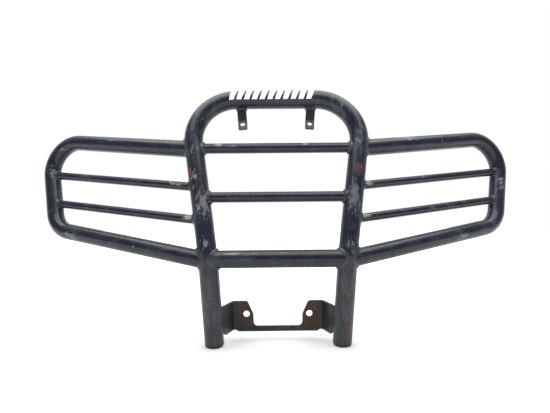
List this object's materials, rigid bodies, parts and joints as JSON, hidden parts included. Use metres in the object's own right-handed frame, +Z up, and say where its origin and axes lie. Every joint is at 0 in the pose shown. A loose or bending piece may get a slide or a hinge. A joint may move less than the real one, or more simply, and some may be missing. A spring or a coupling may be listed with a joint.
{
  "type": "front grille guard",
  "caption": "Welded tube front guard with a rounded hoop, three crossbars, two swept side wings with rods, strap tabs and a drilled mounting bracket.",
  "frame": {"origin": "middle of the rear face of the mounting bracket's strap, the face that bolts to the vehicle", "axes": "+X right as seen from in front, +Y back towards the vehicle, +Z up"},
  "size_m": [0.897, 0.1876, 0.4374],
  "materials": {
    "frame_paint": "semi-gloss blue-black paint, scuffed and chipped",
    "bracket_paint": "worn black paint with rust round the bolt holes",
    "weld_paint": "painted weld beads with a little rust",
    "plug_plastic": "dark matte plastic",
    "decal_white": "white vinyl, slightly chipped"
  },
  "bodies": {
    "root": {"hoop_tube": "frame_paint", "upper_crossbar": "frame_paint", "middle_crossbar": "frame_paint", "lower_crossbar": "frame_paint", "lower_bracket": "bracket_paint", "front_decal": "decal_white", "leg_end_plug_left": "plug_plastic", "wing_tube_left": "frame_paint", "tab_left": "frame_paint", "wing_rod_upper_left": "frame_paint", "wing_rod_lower_left": "frame_paint", "leg_end_plug_right": "plug_plastic", "wing_tube_right": "frame_paint", "tab_right": "frame_paint", "wing_rod_upper_right": "frame_paint", "wing_rod_lower_right": "frame_paint", "upper_crossbar_weld_left": "weld_paint", "middle_crossbar_weld_left": "weld_paint", "lower_crossbar_weld_left": "weld_paint", "wing_weld_top_left": "weld_paint", "wing_weld_bottom_left": "weld_paint", "rod_weld_upper_inner_left": "weld_paint", "rod_weld_upper_outer_left": "weld_paint", "rod_weld_lower_inner_left": "weld_paint", "rod_weld_lower_outer_left": "weld_paint", "tab_weld_front_left": "weld_paint", "tab_weld_rear_left": "weld_paint", "bracket_weld_inner_left": "weld_paint", "bracket_weld_outer_left": "weld_paint", "upper_crossbar_weld_right": "weld_paint", "middle_crossbar_weld_right": "weld_paint", "lower_crossbar_weld_right": "weld_paint", "wing_weld_top_right": "weld_paint", "wing_weld_bottom_right": "weld_paint", "rod_weld_upper_inner_right": "weld_paint", "rod_weld_upper_outer_right": "weld_paint", "rod_weld_lower_inner_right": "weld_paint", "rod_weld_lower_outer_right": "weld_paint", "tab_weld_front_right": "weld_paint", "tab_weld_rear_right": "weld_paint", "bracket_weld_inner_right": "weld_paint", "bracket_weld_outer_right": "weld_paint"}
  },
  "joints": []
}
